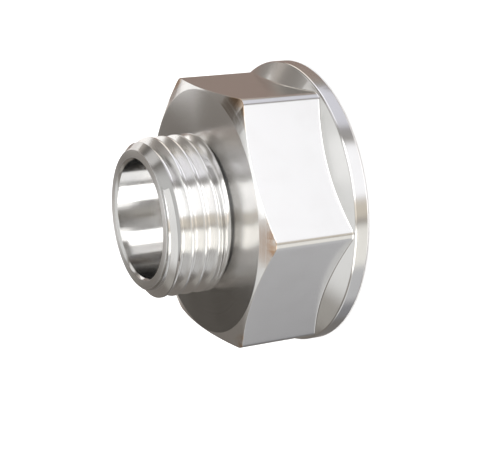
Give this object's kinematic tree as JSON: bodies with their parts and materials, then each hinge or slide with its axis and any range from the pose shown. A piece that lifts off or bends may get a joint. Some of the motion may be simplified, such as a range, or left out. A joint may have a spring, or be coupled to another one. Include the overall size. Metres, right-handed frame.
{
  "type": "reducing pipe adapter",
  "caption": "Short plated brass pipe adapter with a male thread, a hexagon for a spanner and a round flange with a larger female thread.",
  "frame": {"origin": "centre of the flange's foot, on the surface that the adapter stands on", "axes": "+Z along the waterway, from the female end at the foot up to the male end; +X through a corner of the hexagon"},
  "size_m": [0.038, 0.038, 0.0234],
  "materials": {
    "plated_brass": "bright nickel plate over turned brass"
  },
  "bodies": {
    "root": {"adapter_body": "plated_brass"}
  },
  "joints": []
}
